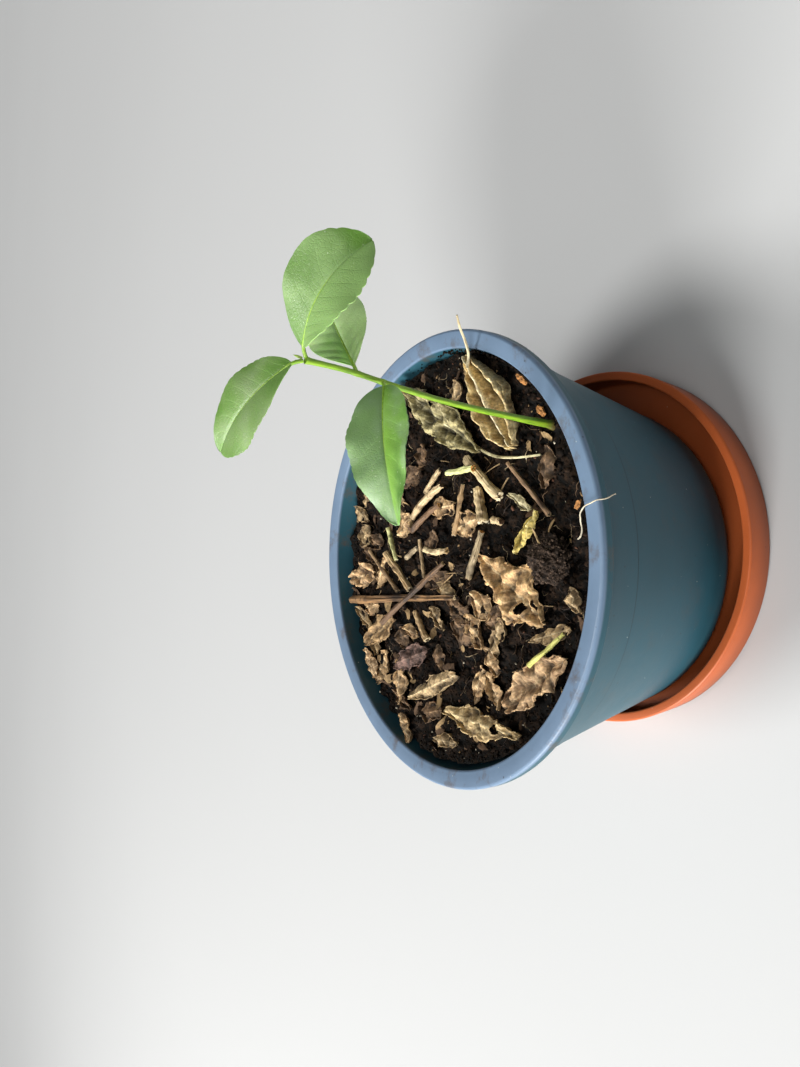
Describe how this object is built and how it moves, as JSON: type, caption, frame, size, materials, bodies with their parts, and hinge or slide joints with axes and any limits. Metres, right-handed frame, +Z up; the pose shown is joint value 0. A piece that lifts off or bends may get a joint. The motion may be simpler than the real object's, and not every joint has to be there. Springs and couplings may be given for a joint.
{
  "type": "potted citrus seedling",
  "caption": "Young citrus seedling with toothed oval leaves in a round plastic pot of soil, dry leaves and cut stems, standing in a saucer.",
  "frame": {"origin": "centre of the saucer's flat underside, on the surface that it stands on", "axes": "+Z up; the picture's camera stands on the -Y side and looks along +Y and down; the seedling grows near the pot's -Y edge and leans towards +X"},
  "size_m": [0.18, 0.18, 0.2021],
  "materials": {
    "saucer": "moulded, satin",
    "pot": "moulded, satin",
    "soil": "loose crumbs",
    "stem": "smooth green bark",
    "leaf": "waxy satin",
    "dry_leaf": "dry matte",
    "dead_wood": "dry matte"
  },
  "bodies": {
    "root": {"saucer": "saucer", "pot": "pot", "soil": "soil", "stem": "stem", "leaf_lowest": "leaf", "leaf_second": "leaf", "leaf_tip_left": "leaf", "leaf_tip_right": "leaf", "tip_bud": "stem", "dry_leaf_pleated": "dry_leaf", "dry_leaf_grey": "dry_leaf", "dry_leaf_tan": "dry_leaf", "dry_leaf_brown": "dry_leaf", "dry_leaf_pale": "dry_leaf", "dry_leaf_split": "dry_leaf", "dry_leaf_dark": "dry_leaf", "dry_leaf_far": "dry_leaf", "dry_leaf_wall": "dry_leaf", "dry_leaf_low": "dry_leaf", "dry_leaf_edge": "dry_leaf", "dry_curl_small": "dry_leaf", "dry_curl_long": "dry_leaf", "cut_stem_thick": "dead_wood", "cut_stem_pale": "dead_wood", "cut_stem_short": "dead_wood", "cut_stem_bent": "dead_wood", "cut_stem_dark": "dead_wood", "cut_stem_stout": "dead_wood", "cut_stem_stub": "dead_wood", "cut_stem_jointed": "dead_wood", "cut_stem_green": "dead_wood", "cut_stem_far": "dead_wood", "cut_stem_far_thick": "dead_wood", "cut_stem_longest": "dead_wood", "cut_stem_crossing": "dead_wood", "cut_stem_thin": "dead_wood", "cut_stem_arched": "dead_wood", "cut_stem_grey": "dead_wood", "cut_stem_orange_end": "dead_wood", "cut_stem_slender": "dead_wood", "cut_stem_split_end": "dead_wood", "cut_stem_yellow": "dead_wood", "bark_chip_long": "dead_wood", "bark_chip_stem": "dead_wood", "bark_chip_rim": "dead_wood", "soil_clod": "soil"}
  },
  "joints": []
}
